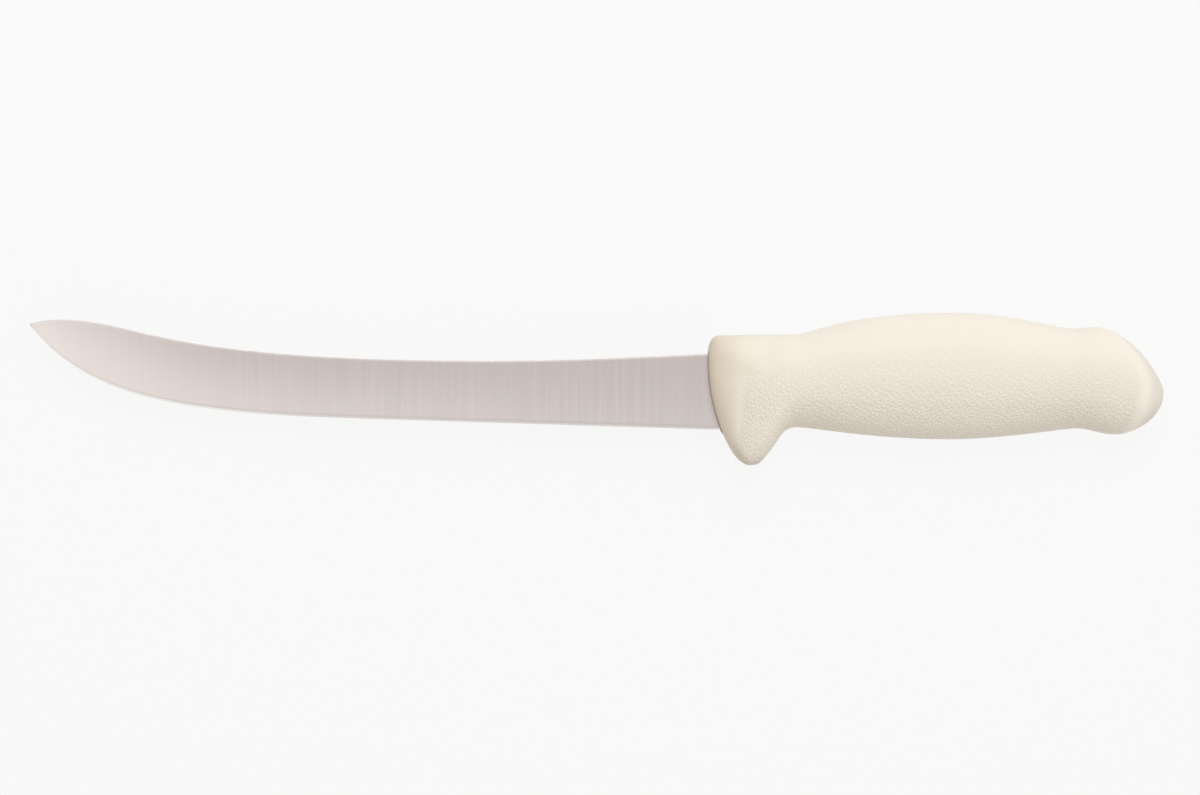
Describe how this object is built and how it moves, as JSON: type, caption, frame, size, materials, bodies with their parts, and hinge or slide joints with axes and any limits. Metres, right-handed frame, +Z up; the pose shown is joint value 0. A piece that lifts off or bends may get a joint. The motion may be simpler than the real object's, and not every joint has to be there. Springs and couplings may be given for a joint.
{
  "type": "butcher's fillet knife",
  "caption": "Fixed-blade butcher's fillet knife: narrow satin steel blade with an upswept tip and a hidden tang, in a white pebble-grained moulded handle with a finger guard.",
  "frame": {"origin": "on the surface that the knife lies on, under the middle of its outline", "axes": "+X from the blade's tip to the handle's butt, +Y from the cutting edge to the spine, +Z up out of the upper cheek"},
  "size_m": [0.3398, 0.0456, 0.025],
  "materials": {
    "satin_steel": "satin",
    "rigid_plastic": "matte",
    "soft_grip": "matte"
  },
  "bodies": {
    "root": {"blade": "satin_steel", "handle_core": "rigid_plastic", "handle_grip": "soft_grip"}
  },
  "joints": []
}
